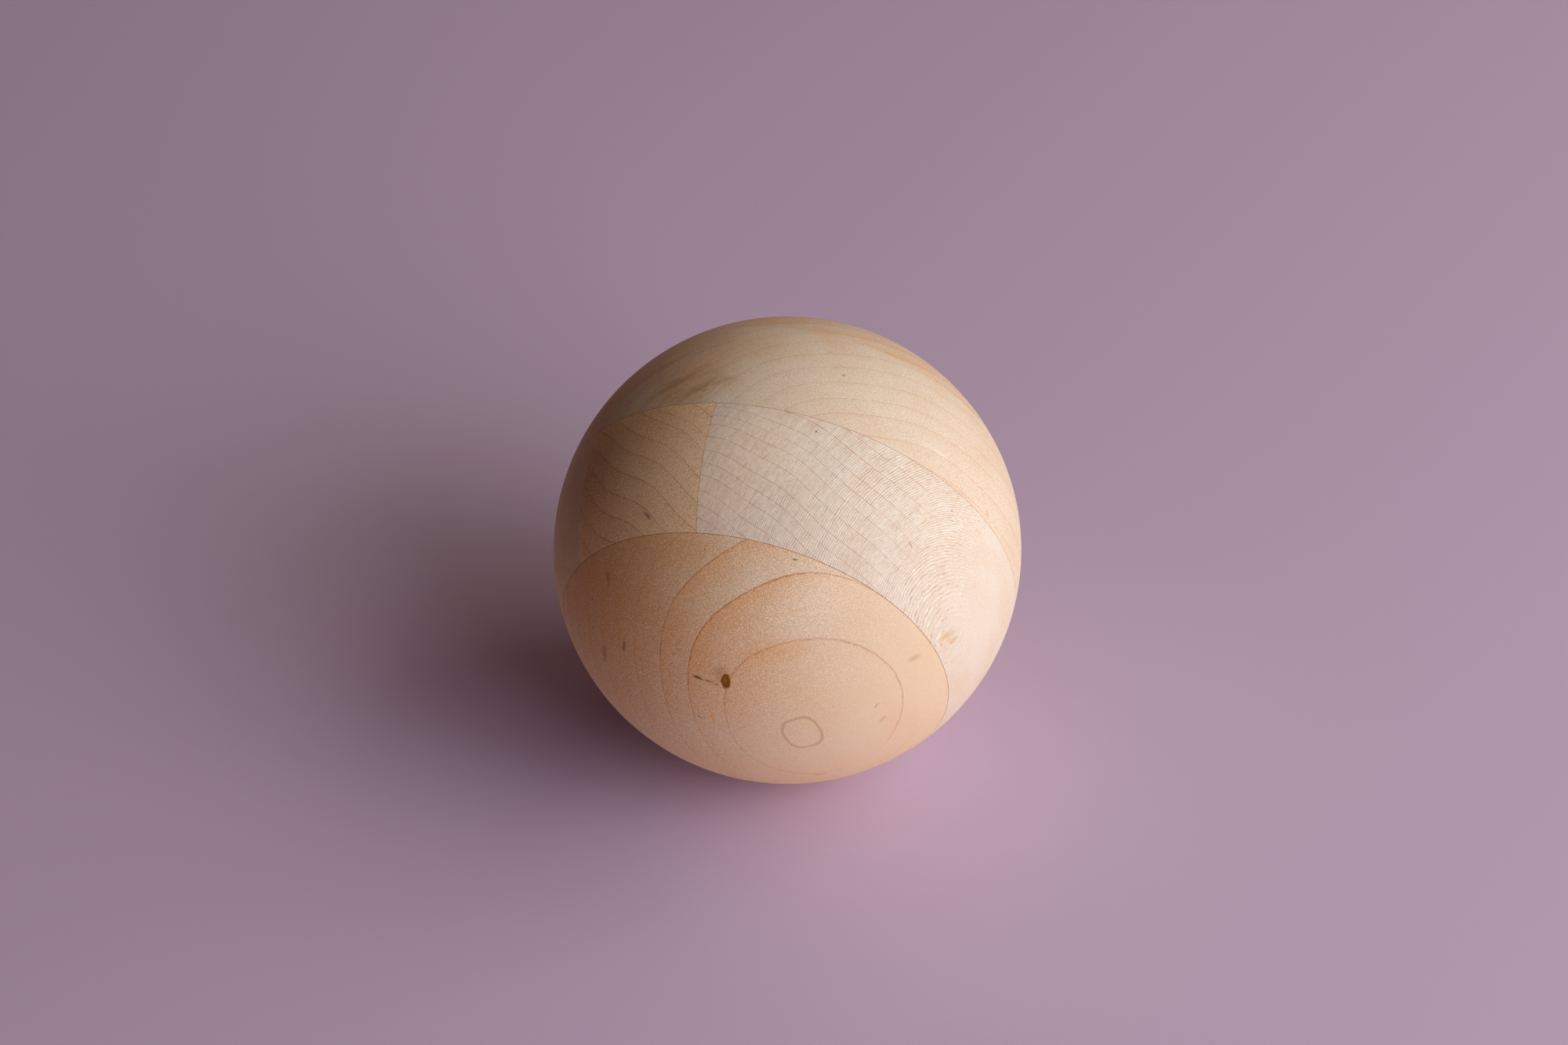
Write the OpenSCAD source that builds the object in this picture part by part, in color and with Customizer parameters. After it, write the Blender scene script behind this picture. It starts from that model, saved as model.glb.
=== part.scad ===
// Wooden ball turned from a glued-up maple blank.
// The blank is a stack of boards along its Y axis, with the front pair of joints
// enclosing a layer of three staves side by side along X. The grain of every
// block runs along the blank's Z axis. The blank lies turned inside the ball.

/* [Ball] */
// Diameter of the finished ball
ball_d = 70; // [56:1:120]

/* [Glued blank] */
// Thickness of each inner layer of the blank
layer_t = 19.1; // [12:0.1:26]
// How far the middle layer joint lies behind the centre of the ball
layer_shift = 0.05; // [-3:0.05:3]
// How far the joint between the right and centre staves lies right of the centre
stave_joint_x = 3; // [-6:0.1:8]
// Width of the centre stave
centre_stave_w = 22.25; // [12:0.25:28]

/* [Lie of the blank] */
// Turn of the blank about X, in degrees
blank_turn_x = 17.5; // [-90:0.1:90]
// Turn of the blank about Y, in degrees
blank_turn_y = -17.1; // [-90:0.1:90]
// Turn of the blank about Z, in degrees
blank_turn_z = -20.8; // [-180:0.1:180]

/* [Finish] */
// Facets round the ball in the preview
ball_facets = 180; // [48:4:240]

/* [Hidden] */

// The outermost blocks of the blank reach past the ball, so it is always whole.
reach = 0.6 * ball_d;

// Layer joints, from the front of the blank to its back
front_joint_y = layer_shift - layer_t;
middle_joint_y = layer_shift;
rear_joint_y = layer_shift + layer_t;

// The other joint between staves
left_joint_x = stave_joint_x - centre_stave_w;

// What the lathe leaves of a block that lies between two X and two Y planes of the blank
module turned_block(x_from, x_to, y_from, y_to) {
    intersection() {
        sphere(d = ball_d, $fn = ball_facets);
        rotate([blank_turn_x, blank_turn_y, blank_turn_z])
            translate([x_from, y_from, -reach])
                cube([x_to - x_from, y_to - y_from, 2 * reach]);
    }
}

module front_board() {
    color([0.84, 0.69, 0.55])
        turned_block(-reach, reach, -reach, front_joint_y);
}

module right_stave() {
    color([0.91, 0.84, 0.74])
        turned_block(stave_joint_x, reach, front_joint_y, middle_joint_y);
}

module centre_stave() {
    color([0.78, 0.64, 0.48])
        turned_block(left_joint_x, stave_joint_x, front_joint_y, middle_joint_y);
}

module left_stave() {
    color([0.80, 0.67, 0.56])
        turned_block(-reach, left_joint_x, front_joint_y, middle_joint_y);
}

module upper_board() {
    color([0.87, 0.77, 0.63])
        turned_block(-reach, reach, middle_joint_y, rear_joint_y);
}

module rear_board() {
    color([0.80, 0.62, 0.44])
        turned_block(-reach, reach, rear_joint_y, reach);
}

front_board();
right_stave();
centre_stave();
left_stave();
upper_board();
rear_board();
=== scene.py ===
"""Looks of a turned wooden ball: six blocks of maple, glued up and turned as one."""

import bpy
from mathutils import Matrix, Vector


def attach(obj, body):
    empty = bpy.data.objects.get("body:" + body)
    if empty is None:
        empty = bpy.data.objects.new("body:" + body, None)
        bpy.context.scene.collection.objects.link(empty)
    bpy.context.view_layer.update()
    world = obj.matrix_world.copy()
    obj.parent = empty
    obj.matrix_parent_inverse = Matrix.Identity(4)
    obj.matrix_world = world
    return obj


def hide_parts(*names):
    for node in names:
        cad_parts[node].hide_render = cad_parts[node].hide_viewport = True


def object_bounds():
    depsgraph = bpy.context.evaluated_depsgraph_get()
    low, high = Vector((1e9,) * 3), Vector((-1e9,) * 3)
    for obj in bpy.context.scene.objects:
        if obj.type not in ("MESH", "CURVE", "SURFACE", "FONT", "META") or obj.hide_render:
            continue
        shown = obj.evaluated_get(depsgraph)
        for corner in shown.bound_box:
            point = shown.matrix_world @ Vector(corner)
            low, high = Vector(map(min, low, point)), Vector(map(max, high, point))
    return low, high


bl_info = {
    "name": "Wooden Ball",
    "version": (1, 0, 0),
    "blender": (4, 5, 0),
    "location": "View3D > Sidebar > Wooden Ball",
    "description": "Builds a ball turned from glued-up maple blocks, and the stage it lies on",
    "category": "Add Mesh",
}

import math
from typing import NamedTuple

import bpy
import numpy as np
from mathutils import Euler, Matrix, Vector

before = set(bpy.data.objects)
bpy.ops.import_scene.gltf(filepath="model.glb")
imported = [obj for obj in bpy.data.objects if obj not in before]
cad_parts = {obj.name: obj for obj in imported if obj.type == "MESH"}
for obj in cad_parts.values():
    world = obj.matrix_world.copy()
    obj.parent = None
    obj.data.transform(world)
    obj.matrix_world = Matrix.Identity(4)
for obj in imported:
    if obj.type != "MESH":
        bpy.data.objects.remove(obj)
CAD_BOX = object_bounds()

MM = 0.001
BALL_LOW, BALL_HIGH = (Vector(corner) for corner in CAD_BOX)


class Ramp(NamedTuple):
    """A stretch of a value, and what it gives at its start and at its end."""
    start: float
    end: float
    first: float = 0.0
    last: float = 1.0

    def wide(self, by):
        return Ramp(self.start * by, self.end * by, self.first, self.last)

    def scaled(self, by):
        return Ramp(self.start, self.end, self.first * by, self.last * by)


class Side(NamedTuple):
    """A stretch along a direction in the blank, in mm from the ball's centre."""
    toward: tuple
    start: float
    end: float


# --- the boards

class Wave(NamedTuple):
    """A wave in the growth rings, which runs round the trunk ("round") or up it ("up")."""
    height: float  # mm
    length: float  # mm
    start: float  # turns
    slant: float = 0.0  # turns for each mm outwards
    climb: float = 0.0  # turns for each mm up the trunk
    along: str = "round"


class Mark(NamedTuple):
    """A fleck, streak, stain or knot, centred on a place of the turned surface; some broad ones are painted
    shade and painted light instead. It may be ragged, or made of separate streaks."""
    place: tuple  # mm, in the blank
    size: tuple  # mm, half its length and half its width
    turn: float  # degrees from level, against the clock as seen from outside
    tone: str
    strength: float
    soft: float = 0.6
    streaks: float = 0.0


def wash(*mark, streaks=0.0):
    """A broad mark with no edge of its own, which lies under the rays and pores."""
    return Mark(*mark, soft=1.0, streaks=streaks)


class Bullseye(NamedTuple):
    """The small closed ring where a flat-sawn board just grazes one year's growth."""
    place: tuple  # mm, in the blank's X and Z
    size: tuple  # mm, half its width and half its height
    line: float  # mm, half the width of its line
    strength: float


class Growth(NamedTuple):
    """How a board grew: where the heart of the tree lay, and rings counted from a point of the board."""
    pith: tuple  # mm, in the blank's X and Y
    datum: tuple  # mm, the point of the board that ring distances count from
    rings: tuple  # mm, outer edge of each ring, outwards from the datum
    lean: float  # mm that the rings move in for each mm up
    twist: float = 0.0  # the same, for each mm round
    waves: tuple = ()
    rays: tuple = ()  # how bent rays run: mm across for each mm of Y, and of Y squared
    rays_up: tuple = ()  # the height, in mm, above which they lean over, the mm this takes, and the lean
    rays_near: tuple = ()  # the mm across past which they draw together, and how much for each mm
    bend: tuple = ()  # the X, in mm, left of which the rings bend, and mm outwards for each square mm


class Look(NamedTuple):
    """How strongly each thing shows in a board."""
    line: float  # the dark edge of a ring
    late: float  # the wood just inside it
    rays: float  # brown rays
    pale_rays: float  # whitish rays
    sparkle: float  # pores and short fibres
    late_tone: str = "brown_wood"
    late_width: float = 2.0  # mm
    fibres: float = 0.25  # fibres too fine to tell apart
    cloud: float = 0.2  # slow drift towards the late wood's colour
    fades: tuple = ()  # ramps, over mm of growth, that the rings come up or fade by
    warm: Side = None  # the side on which late wood is warm and ring lines are plain
    bare: Side = None  # the side on which the rings fade
    bare_past: float = -99.0  # mm of growth inside which they don't
    calm: Side = None  # the side on which the rays fade
    lively: Side = None  # the side on which pores and fibres are strong
    least_lively: float = 1.0  # what is left of them on the other side


FRONT_GROWTH = Growth(
    pith=(43.3, -91.0), datum=(11.9, -32.9), lean=-0.14, twist=-0.0017,
    waves=(Wave(0.67, 30.1, -0.117, climb=0.0111), Wave(1.4, 55.3, -0.054, along="up")),
    rings=(-0.67, 2.98, 6.62, 10.15, 14.25, 17.3),
)
RIGHT_GROWTH = Growth(
    pith=(-2.7, -60.7), datum=(15.75, -9.45), lean=0.226,
    waves=(Wave(2.8, 75.6, -0.041, slant=-0.0106), Wave(0.18, 11.3, -0.257, slant=0.0141)),
    rings=(-5.15, -3.64, -1.86, 0.18, 1.86, 3.68, 5.81, 7.84, 9.38, 10.99, 13.09),
    rays=(-0.35, 0.0051), rays_up=(2.5, 8.0, 0.2), rays_near=(31.0, 0.27),
)
CENTRE_GROWTH = Growth(
    pith=(-110.5, -175.0), datum=(-7.0, -10.5), lean=-0.02,
    waves=(Wave(0.35, 14.7, -0.451, slant=0.0068),),
    rings=(-10.0, -7.2, -4.55, -1.65, 1.33, 4.0, 7.0, 8.6),
    bend=(-12.0, 0.03),
)
LEFT_GROWTH = Growth(
    pith=(-120.0, -150.0), datum=(-25.0, -10.0), lean=0.03,
    waves=(Wave(0.4, 17.0, 0.2, slant=0.005),),
    rings=(-7.0, -4.3, -1.2, 1.6, 4.7, 7.4),
)
UPPER_GROWTH = Growth(
    pith=(32.6, -19.8), datum=(18.0, 7.0), lean=0.1,
    waves=(Wave(0.3, 16.0, 0.1, slant=0.01),),
    rings=(-5.6, -2.0, 0.7, 4.0, 7.4, 10.6, 14.2, 17.4),
)
REAR_GROWTH = Growth(
    pith=(-16.0, 88.0), datum=(-5.0, 34.0), lean=0.08, twist=0.001,
    waves=(Wave(0.7, 34.0, 0.3, climb=0.01), Wave(1.1, 60.0, 0.2, along="up")),
    rings=(-0.5, 3.1, 6.2, 9.9),
)

FRONT_LOOK = Look(
    line=1.05, late=0.95, late_tone="late_wood", late_width=3.2, rays=0.12, pale_rays=0.06, sparkle=0.9,
    fibres=0.46, cloud=0.12, fades=(Ramp(0.8, 1.8), Ramp(10.9, 12.5, 1.0, 0.5)),
    warm=Side((-0.45, 0.0, 0.8), 3.0, 15.0), bare=Side((0.95, 0.3, -0.2), 14.5, 18.5), bare_past=4.5,
    lively=Side((-0.7, 0.0, 0.7), -20.0, 10.0), least_lively=0.22)
RIGHT_LOOK = Look(line=0.62, late=0.12, rays=0.95, pale_rays=0.8, sparkle=0.3, fibres=0.14, cloud=0.2,
                  bare=Side((0.8, 0.0, -0.6), 10.5, 17.5), calm=Side((1.0, -0.15, -0.3), 31.2, 34.6))
CENTRE_LOOK = Look(line=0.75, late=0.35, late_width=1.8, rays=0.25, pale_rays=0.2, sparkle=1.1,
                   fibres=0.45, cloud=0.08)
LEFT_LOOK = Look(line=0.12, late=0.1, rays=0.1, pale_rays=0.1, sparkle=0.4)
UPPER_LOOK = Look(line=0.45, late=0.18, late_width=1.4, rays=0.15, pale_rays=0.1, sparkle=0.6, cloud=0.2)
REAR_LOOK = Look(
    line=0.5, late=0.6, late_tone="late_wood", late_width=2.6, rays=0.12, pale_rays=0.06, sparkle=0.6,
    cloud=0.3)

FRONT_MARKS = (
    # painted shade: darkens the board's left side, where the ball lies in shade
    wash((-20.0, -26.0, 12.0), (22.0, 24.0), 0, "stain_and_painted_shade", 0.2),
    wash((-8.0, -28.0, 18.0), (26.0, 22.0), 0, "late_wood", 0.38),
    wash((-11.0, -24.0, 23.0), (21.0, 16.0), 0, "late_wood", 0.9),
    wash((-5.0, -20.0, 28.2), (14.0, 4.5), 0, "late_wood", 0.75),
    wash((2.0, -20.6, 28.2), (11.0, 6.5), -20, "late_wood", 0.6),
    wash((2.0, -31.4, 15.5), (4.5, 2.2), 50, "late_wood", 0.45),
    wash((12.3, -28.9, 14.4), (8.0, 2.6), -14, "late_wood", 0.55),
    wash((6.0, -31.5, 12.5), (17.0, 15.0), 0, "late_wood", 0.42),
    wash((3.9, -32.2, 13.3), (2.3, 1.9), 60, "halo", 0.7),
    Mark((4.4, -32.65, 12.0), (1.5, 0.85), -109, "knot", 1.0, soft=0.3),
    Mark((4.4, -32.6, 12.2), (0.8, 0.36), -109, "halo", 0.35, soft=0.9),
    Mark((0.3, -32.6, 12.9), (1.15, 0.36), -27, "fleck", 1.0, soft=0.8),
    Mark((1.6, -32.65, 12.3), (0.75, 0.24), -28, "fleck", 0.7, soft=0.85),
    Mark((2.8, -32.7, 11.8), (1.7, 0.8), -10, "ring_line", 0.65, soft=0.95, streaks=1.6),
    Mark((16.6, -19.9, 23.6), (0.5, 0.2), -40, "fleck", 0.7),
    wash((18.5, -23.0, 18.0), (12.0, 7.0), 0, "rose_and_painted_light", 0.35),
    wash((16.1, -25.0, 18.5), (1.7, 0.4), -12, "late_wood", 0.5),
    Mark((27.4, -21.6, 2.1), (1.5, 0.8), -16, "halo", 0.42, soft=0.95),
    Mark((21.6, -27.5, -1.4), (0.7, 0.25), 33, "fleck", 0.5, soft=0.9),
    Mark((21.2, -27.4, -4.9), (1.2, 0.6), 31, "ring_line", 0.32, soft=0.95),
    Mark((-2.0, -34.4, 5.9), (0.5, 0.3), -36, "fleck", 0.6, soft=0.85),
    Mark((0.2, -34.5, 5.7), (1.5, 0.5), -105, "late_wood", 0.8, soft=0.9),
    Mark((8.3, -31.0, -14.0), (1.5, 0.5), -30, "stain_and_painted_shade", 0.6, soft=0.9),
    Mark((-12.8, -22.4, 23.6), (1.6, 0.6), -60, "stain_and_painted_shade", 0.75, soft=0.9),
    Mark((-11.6, -29.0, 15.9), (1.6, 0.42), -104, "stain_and_painted_shade", 0.95, soft=0.8),
    Mark((-16.4, -28.0, 13.0), (2.6, 0.8), -102, "stain_and_painted_shade", 0.6, soft=0.95),
    Mark((-8.0, -23.9, 24.3), (0.7, 0.4), -13, "chalk", 0.6, soft=0.9, streaks=3.0),
    Mark((13.0, -28.5, -15.5), (11.0, 6.0), 50, "front_maple", 0.75, soft=0.95),
)
FRONT_BULLSEYE = Bullseye((11.6, -0.5), (2.45, 3.4), 0.27, 0.4)
RIGHT_MARKS = (
    # painted light: lighter, warmer patches near the top of the ball, where warm light falls
    wash((7.0, -8.0, 33.0), (16.0, 13.0), 0, "rose_and_painted_light", 0.85),
    wash((4.0, -15.0, 31.3), (11.0, 9.0), 0, "rose_and_painted_light", 0.9),
    Mark((30.8, -16.6, -0.1), (1.6, 1.3), -8, "amber", 0.38, soft=0.9),
    Mark((30.6, -16.9, 0.9), (1.5, 0.6), -8, "amber", 0.9, soft=0.7),
    Mark((30.9, -16.3, -1.1), (1.3, 0.55), -8, "amber", 0.85, soft=0.7),
    Mark((17.6, -2.1, 30.2), (0.3, 0.22), 0, "fleck", 0.7),
    Mark((32.5, -3.2, 12.6), (0.35, 0.22), -64, "fleck", 0.45, soft=0.7),
    Mark((29.2, -11.4, 15.5), (1.0, 0.25), -107, "ring_line", 0.5, soft=0.9),
)
CENTRE_MARKS = (
    # painted shade: darkens the stave's left end, where the ball lies in shade
    wash((-18.0, -8.0, 29.0), (10.0, 14.0), 0, "stain_and_painted_shade", 0.4),
    # painted light: a lighter, warmer patch near the top of the ball, where warm light falls
    wash((-1.0, -9.0, 33.5), (12.0, 12.0), 0, "rose_and_painted_light", 0.3),
    wash((-6.0, -1.5, 34.0), (13.0, 8.0), 0, "late_wood", 0.3),
    Mark((-5.1, -16.6, 30.4), (1.2, 0.45), -27, "stain_and_painted_shade", 0.9, soft=0.85),
)
UPPER_MARKS = (
    wash((-4.0, 3.0, 34.5), (15.0, 8.0), 10, "late_wood", 0.4),
    wash((-2.0, 12.0, 33.0), (20.0, 12.0), 10, "late_wood", 0.32),
    wash((-0.6, 2.4, 34.9), (8.0, 3.0), 25, "brown_wood", 0.75),
    wash((-0.3, 2.6, 34.8), (7.5, 3.6), 34, "stain_and_painted_shade", 0.6, streaks=2.2),
    wash((-9.0, 9.0, 32.0), (15.0, 6.0), -11, "stain_and_painted_shade", 0.35, streaks=3.0),
    wash((-5.0, 4.5, 34.3), (9.5, 3.8), -15, "brown_wood", 0.6),
    wash((-4.5, 4.2, 34.4), (9.5, 4.4), -15, "stain_and_painted_shade", 0.55, streaks=2.5),
    wash((-11.0, 14.0, 30.0), (16.0, 9.0), 15, "brown_wood", 0.5),
    wash((-20.0, 6.0, 28.0), (13.0, 8.0), 0, "brown_wood", 0.6),
    wash((10.0, 21.0, 26.0), (13.0, 4.5), -20, "late_wood", 0.4),
    Mark((0.4, 2.6, 34.9), (0.7, 0.4), 22, "fleck", 0.4, soft=0.9),
    Mark((18.0, 9.7, 28.4), (0.45, 0.28), -74, "fleck", 0.5, soft=0.7),
    Mark((14.8, 14.1, 28.5), (1.3, 0.5), 30, "ring_line", 0.5, soft=0.9, streaks=2.0),
    Mark((13.1, 0.3, 32.5), (0.45, 0.3), -76, "amber", 0.7, soft=0.8),
    wash((30.0, 3.9, 17.6), (3.8, 0.5), -93, "chalk", 0.4),
    wash((34.5, 1.3, 5.9), (1.0, 0.45), -114, "ring_line", 0.4),
    wash((34.8, -0.1, 4.0), (0.9, 0.45), -120, "ring_line", 0.35),
)


class Joint(NamedTuple):
    """A glued joint plane across the blank, in metres, and how dark its glue line shows."""
    at: float
    dark: float


class Board(NamedTuple):
    """A block of the blank: its piece, its material slot, and the joints below and above it in X and Y."""
    node: str
    slot: str
    growth: Growth
    look: Look
    x: tuple = (None, None)
    y: tuple = (None, None)
    marks: tuple = ()
    bullseye: Bullseye = None


# --- sizes and colours

def distance(name, description, default, least=0.0):
    return bpy.props.FloatProperty(
        name=name, description=description, default=default, min=least, unit="LENGTH", subtype="DISTANCE")


def amount(name, description, default, least=0.0):
    return bpy.props.FloatProperty(name=name, description=description, default=default, min=least)


def colour(name, default):
    return bpy.props.FloatVectorProperty(
        name=name, description=f"Colour of the {name.lower()}", default=default,
        size=3, min=0.0, max=1.0, subtype="COLOR")


class BallSizes(bpy.types.PropertyGroup):
    """Sizes of the ball and its blank."""
    diameter: distance("Diameter", "Diameter of the finished ball", BALL_HIGH.z - BALL_LOW.z, 0.02)
    layer: distance("Layer", "Thickness of each inner layer of the blank", 19.1 * MM, 0.005)
    layer_shift: distance("Layer shift", "How far the middle layer joint lies behind the centre", 0.05 * MM)
    stave_joint: distance("Stave joint", "How far the right stave's joint lies from the centre", 3.0 * MM)
    centre_stave: distance("Centre stave", "Width of the centre stave", 22.25 * MM, 0.005)
    blank_turn: bpy.props.FloatVectorProperty(
        name="Blank turn", description="How the blank lies turned in the ball",
        default=(math.radians(17.5), math.radians(-17.1), math.radians(-20.8)),
        unit="ROTATION", subtype="EULER")
    glue_line: distance("Glue line", "Half the width of the dark line at a glued joint", 0.075 * MM)
    meridians: bpy.props.IntProperty(
        name="Meridians", description="Facets round the ball, a multiple of twelve",
        default=300, min=48, max=480)


class WoodSizes(bpy.types.PropertyGroup):
    """Sizes of what shows in the wood."""
    ray_pitch: distance("Ray pitch", "Distance between the wood's rays", 0.24 * MM, 0.0001)
    ray_height: distance("Ray height", "Distance along the grain from one ray to the next", 0.8 * MM, 0.0001)
    ray_reach: distance("Ray reach", "How far a ray runs across the rings", 9.0 * MM, 0.0001)
    ring_line: distance("Ring line", "Width of the dark edge of a growth ring", 0.075 * MM)
    roughness: bpy.props.FloatProperty(
        name="Roughness", description="Roughness of the sanded surface",
        default=0.6, min=0.0, max=1.0, subtype="FACTOR")


class WoodColours(bpy.types.PropertyGroup):
    """Colours of the blocks between their rings, and of what marks them."""
    front_maple: colour("Front board", (0.835, 0.66, 0.475))
    pale_maple: colour("Right stave", (0.815, 0.73, 0.62))
    tan_maple: colour("Centre stave", (0.99, 0.68, 0.38))
    left_maple: colour("Left stave", (0.79, 0.63, 0.46))
    upper_maple: colour("Upper board", (0.83, 0.70, 0.55))
    rear_maple: colour("Rear board", (0.80, 0.635, 0.48))
    ring_line: colour("Edge of a ring", (0.50, 0.20, 0.08))
    late_wood: colour("Warm late wood", (0.82, 0.45, 0.20))
    brown_wood: colour("Brown late wood", (0.72, 0.46, 0.24))
    ray: colour("Rays", (0.59, 0.42, 0.30))
    pale_grain: colour("Pale grain", (0.98, 0.92, 0.84))
    fleck: colour("Flecks", (0.20, 0.11, 0.055))
    # also painted shade: the broad washes on the shaded left of the front board and the centre stave use it
    stain_and_painted_shade: colour("Dark figure and painted shade", (0.42, 0.25, 0.13))
    knot: colour("Pin knot", (0.26, 0.088, 0.014))
    halo: colour("Stain round the knot", (0.52, 0.29, 0.13))
    amber: colour("Ray flakes", (0.74, 0.52, 0.27))
    # also painted light: the pale warm washes near the top of the right and centre staves
    rose_and_painted_light: colour("Pinker wood and painted warm light", (1.0, 0.80, 0.61))
    chalk: colour("White specks", (0.98, 0.93, 0.84))
    glue: colour("Glued joint", (0.42, 0.155, 0.06))


class StageSizes(bpy.types.PropertyGroup):
    """The floor, the light and the camera."""
    floor_size: distance("Floor size", "Width of the floor", 6.0)
    floor_colour: colour("Floor", (0.85, 0.63, 0.66))
    far_floor_colour: colour("Floor far away", (0.25, 0.17, 0.14))
    seen_floor_colour: colour("Floor as seen", (0.59, 0.465, 0.65))
    backdrop_colour: colour("Backdrop", (0.55, 0.46, 0.56))
    fill_colour: colour("Fill light", (1.0, 0.3, 0.1))
    fill_strength: amount("Fill strength", "Strength of the light from all round", 0.03)
    low_power: amount("Low window power", "Power of the window light near the floor, in watts", 7.8)
    low_colour: colour("Low window", (0.985, 0.925, 0.995))
    high_power: amount("High window power", "Power of the window light above it, in watts", 4.7)
    high_colour: colour("High window", (1.0, 1.0, 0.88))
    back_power: amount("Back power", "Power of the weak lamp behind the ball, in watts", 1.0)
    back_colour: colour("Back lamp", (1.0, 0.72, 0.55))
    camera_lens: amount("Camera lens", "Focal length in millimetres", 90.0, 10.0)


def settings():
    return bpy.context.scene.wooden_ball


class WoodenBallSettings(bpy.types.PropertyGroup):
    """All of the add-on's settings."""
    ball: bpy.props.PointerProperty(type=BallSizes)
    wood: bpy.props.PointerProperty(type=WoodSizes)
    colours: bpy.props.PointerProperty(type=WoodColours)
    stage: bpy.props.PointerProperty(type=StageSizes)


# --- the blocks

MERGE_WITHIN = 0.002 * MM
SHARP_EDGE = math.radians(40)
TURNED = 0.99  # a face is on the turned surface if it lies this share of the radius out
EDGE = 0.006  # left free round each stretch of the turned surface, as a share of the map
FOOT = 0.05  # the foot of a band's map, which its glued faces have
GLUED_CORNER = (0.05, 0.025)  # where the first glued face lies
GLUED_STEPS = (0.2, 0.1)  # how far right the next axis' faces lie, and the far face of the same axis
GLUED_SIZE = 0.02  # a glued face's radius there


def select_only(piece):
    bpy.ops.object.select_all(action="DESELECT")
    piece.select_set(True)
    bpy.context.view_layer.objects.active = piece


def turned_ball():
    """Turns the whole ball once, with its poles on the blank's Y axis, so that the layer joints run along
    its own rings. Every block is sawn from a copy of it."""
    ball = settings().ball
    whole = bpy.data.meshes.get("Turned_Ball")
    if whole is None:
        bpy.ops.object.select_all(action="DESELECT")
        bpy.ops.mesh.primitive_uv_sphere_add(
            segments=ball.meridians, ring_count=ball.meridians // 2, radius=ball.diameter / 2,
            rotation=(math.pi / 2, 0, 0))
        bpy.ops.object.transform_apply(location=False, rotation=True, scale=False)
        whole = bpy.context.active_object.data
        whole.name = "Turned_Ball"
        bpy.data.objects.remove(bpy.context.active_object)
    return whole


def turned_block(board):
    """Saws a copy of the turned ball at the board's joint planes while the blank lies square."""
    name = board.node.title()
    piece = bpy.data.objects.new(name, turned_ball().copy())
    piece.data.name = name
    bpy.context.collection.objects.link(piece)
    select_only(piece)
    bpy.ops.object.mode_set(mode="EDIT")
    for axis, (low, high) in enumerate((board.x, board.y)):
        for joint, facing in ((low, -1), (high, 1)):
            if joint is not None:
                co, no = [0, 0, 0], [0, 0, 0]
                co[axis], no[axis] = joint.at, facing
                bpy.ops.mesh.select_all(action="SELECT")
                bpy.ops.mesh.bisect(plane_co=co, plane_no=no, use_fill=True, clear_outer=True)
    bpy.ops.mesh.select_all(action="SELECT")
    bpy.ops.mesh.remove_doubles(threshold=MERGE_WITHIN)
    bpy.ops.mesh.normals_make_consistent(inside=False)
    bpy.ops.object.mode_set(mode="OBJECT")
    lay_out(piece, board)
    piece.rotation_euler = Euler(settings().ball.blank_turn)
    select_only(piece)
    bpy.ops.object.transform_apply(location=False, rotation=True, scale=False)
    bpy.ops.object.shade_smooth_by_angle(angle=SHARP_EDGE)
    return piece


def lay_out(piece, board):
    """Lays the block's faces out flat: the turned surface over most of the map, and the glued faces,
    which are hidden, small in its corner or along its foot."""
    mesh = piece.data
    radius = settings().ball.diameter / 2
    co, normal, face_of = corners(mesh)
    middle = np.zeros((len(mesh.polygons), 3))
    mesh.polygons.foreach_get("center", middle.ravel())
    middle = middle[face_of]
    turned = np.einsum("ij,ij->i", middle, normal) > TURNED * radius
    flat = np.abs(normal).argmax(axis=1)
    across, along = np.where(flat == 1, 0, 2), np.where(flat == 1, 2, 1)
    row = np.arange(len(flat))
    glued_u = GLUED_CORNER[0] + GLUED_STEPS[0] * flat + GLUED_STEPS[1] * (normal[row, flat] > 0)
    u = glued_u + GLUED_SIZE * co[row, across] / radius
    v = GLUED_CORNER[1] + GLUED_SIZE * co[row, along] / radius
    if None in board.y:  # a cap: its pole is laid in the middle of the map
        pole = 1 if board.y[0] is not None else -1
        joint = (board.y[0] if pole > 0 else board.y[1]).at
        reach = np.arccos(np.clip(co[:, 1] * pole / radius, -1, 1)) / math.acos(abs(joint) / radius)
        away = np.maximum(np.hypot(co[:, 0], co[:, 2]), MERGE_WITHIN)
        cap_u = 0.5 + (0.5 - EDGE) * reach * co[:, 0] / away
        cap_v = 0.5 + (0.5 - EDGE) * reach * co[:, 2] / away
        u, v = np.where(turned, cap_u, u), np.where(turned, cap_v, v)
    else:  # a band round the ball, cut into two or three strips that lie above each other
        strips = 3 if board.x == (None, None) else 2
        turn = np.arctan2(middle[:, 2], middle[:, 0]) % math.tau
        strip = (turn / math.tau * strips).astype(int)
        around = np.arctan2(co[:, 2], co[:, 0])
        around = turn + (around - turn + math.pi) % math.tau - math.pi
        up = np.arcsin(co[:, 1] / radius)
        tall = (1 - FOOT) / strips
        for n in range(strips):
            own = turned & (strip == n)
            ends = (around[own].min(), around[own].max(), up[own].min(), up[own].max())
            u[own] = EDGE + (1 - 2 * EDGE) * (around[own] - ends[0]) / (ends[1] - ends[0])
            v[own] = FOOT + tall * n + EDGE + (tall - 2 * EDGE) * (up[own] - ends[2]) / (ends[3] - ends[2])
    layer = mesh.uv_layers.new(name="OFBake")
    layer.data.foreach_set("uv", np.stack([u, v], axis=1).ravel())


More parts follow.
